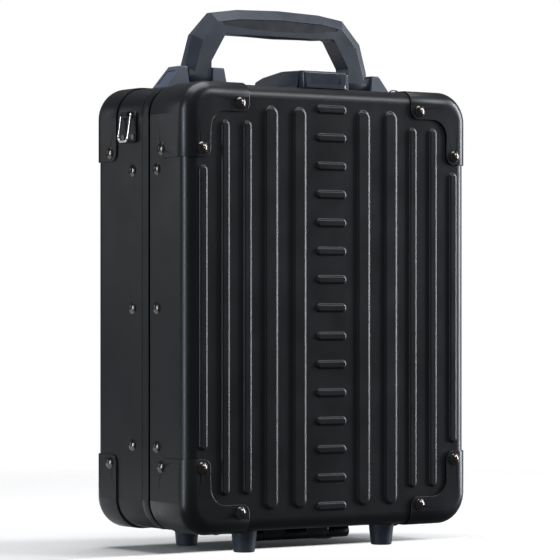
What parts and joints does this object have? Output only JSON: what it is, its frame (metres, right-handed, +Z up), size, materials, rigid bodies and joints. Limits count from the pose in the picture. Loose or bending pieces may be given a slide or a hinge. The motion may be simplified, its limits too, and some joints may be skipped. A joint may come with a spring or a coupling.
{
  "type": "aluminium attache case",
  "caption": "Upright ribbed aluminium attache case with riveted corner guards, a folding top handle, a top lock, side strap rings, rubber feet and a bottom-hinged lid.",
  "frame": {"origin": "centre of the footprint, on the surface the feet stand on", "axes": "+Z up, +X to the right seen from the lid side, the lid faces -Y"},
  "size_m": [0.365, 0.1784, 0.5465],
  "materials": {
    "black_anodised": "matt black anodised",
    "frame_anodised": "satin black anodised extrusion",
    "dark_nickel": "dark nickel plated",
    "bright_chrome": "polished",
    "steel": "zinc plated",
    "black_steel": "black coated steel",
    "handle_plastic": "slate grey moulded nylon",
    "soft_grip": "soft-touch",
    "lock_metal": "slate satin lacquer on die-cast zinc",
    "foot_rubber": "moulded",
    "seal_rubber": "moulded",
    "lining": "woven lining",
    "padding": "quilted lining",
    "dial": "moulded"
  },
  "bodies": {
    "rear_half": {"dial_axle": "steel", "handle_backing_plates": "steel", "handle_lug_left": "handle_plastic", "handle_lug_right": "handle_plastic", "handle_lug_screws": "steel", "handle_pivot_pins": "steel", "hinge_leaf_rear": "black_steel", "hinge_pin": "steel", "hinge_rivets_rear": "dark_nickel", "hook_pin": "steel", "laptop_divider": "padding", "lever_pin": "steel", "lock_base": "steel", "lock_housing": "lock_metal", "lock_screws": "steel", "rear_foot_left": "foot_rubber", "rear_foot_right": "foot_rubber", "rear_foot_screws": "steel", "rear_frame": "frame_anodised", "rear_frame_rivets": "dark_nickel", "rear_guard_bottom_left": "black_anodised", "rear_guard_bottom_right": "black_anodised", "rear_guard_rivets": "dark_nickel", "rear_guard_top_left": "black_anodised", "rear_guard_top_right": "black_anodised", "rear_lining": "lining", "rear_shell": "black_anodised", "ring_plate_left": "dark_nickel", "ring_plate_right": "dark_nickel", "ring_plate_rivets": "dark_nickel"},
    "lid": {"document_organiser": "padding", "hinge_leaf_lid": "black_steel", "hinge_rivets_lid": "dark_nickel", "lid_foot_left": "foot_rubber", "lid_foot_right": "foot_rubber", "lid_foot_screws": "steel", "lid_frame": "frame_anodised", "lid_frame_rivets": "dark_nickel", "lid_guard_bottom_left": "black_anodised", "lid_guard_bottom_right": "black_anodised", "lid_guard_rivets": "dark_nickel", "lid_guard_top_left": "black_anodised", "lid_guard_top_right": "black_anodised", "lid_lining": "lining", "lid_seal": "seal_rubber", "lid_shell": "black_anodised", "lock_striker": "steel", "striker_rivets": "steel"},
    "handle": {"handle_frame": "handle_plastic", "handle_grip": "soft_grip"},
    "lever": {"lock_lever": "lock_metal"},
    "hook": {"lock_hook": "steel"},
    "dial_left": {"dial_left": "dial"},
    "dial_middle": {"dial_middle": "dial"},
    "dial_right": {"dial_right": "dial"},
    "ring_left": {"strap_ring_left": "bright_chrome"},
    "ring_right": {"strap_ring_right": "bright_chrome"}
  },
  "joints": [
    {"name": "lid_hinge", "type": "hinge", "parent": "rear_half", "child": "lid", "pos_m": [0, -0.01725, 0.013], "axis": [1, 0, 0], "range_deg": [0, 105]},
    {"name": "handle_fold", "type": "hinge", "parent": "rear_half", "child": "handle", "pos_m": [0, 0.0144, 0.476], "axis": [1, 0, 0], "range_deg": [-85, 60]},
    {"name": "lever_lift", "type": "hinge", "parent": "rear_half", "child": "lever", "pos_m": [0, -0.0642, 0.4775], "axis": [-1, 0, 0], "range_deg": [0, 65], "stiffness_Nm_per_rad": 0.03},
    {"name": "hook_rock", "type": "hinge", "parent": "rear_half", "child": "hook", "pos_m": [0, -0.032, 0.4715], "axis": [-1, 0, 0], "range_deg": [0, 9.75]},
    {"name": "ring_left_swing", "type": "hinge", "parent": "rear_half", "child": "ring_left", "pos_m": [-0.1772, 0.019, 0.4338], "axis": [0, 1, 0], "range_deg": [0, 120]},
    {"name": "ring_right_swing", "type": "hinge", "parent": "rear_half", "child": "ring_right", "pos_m": [0.1772, 0.019, 0.4338], "axis": [0, -1, 0], "range_deg": [0, 120]},
    {"name": "dial_left_turn", "type": "hinge", "parent": "rear_half", "child": "dial_left", "pos_m": [0, -0.004, 0.4709], "axis": [1, 0, 0], "continuous": true},
    {"name": "dial_middle_turn", "type": "hinge", "parent": "rear_half", "child": "dial_middle", "pos_m": [0, -0.004, 0.4709], "axis": [1, 0, 0], "continuous": true},
    {"name": "dial_right_turn", "type": "hinge", "parent": "rear_half", "child": "dial_right", "pos_m": [0, -0.004, 0.4709], "axis": [1, 0, 0], "continuous": true}
  ],
  "couplings": [
    {"joint": "hook_rock", "follows": "lever_lift", "ratio": 0.15}
  ]
}
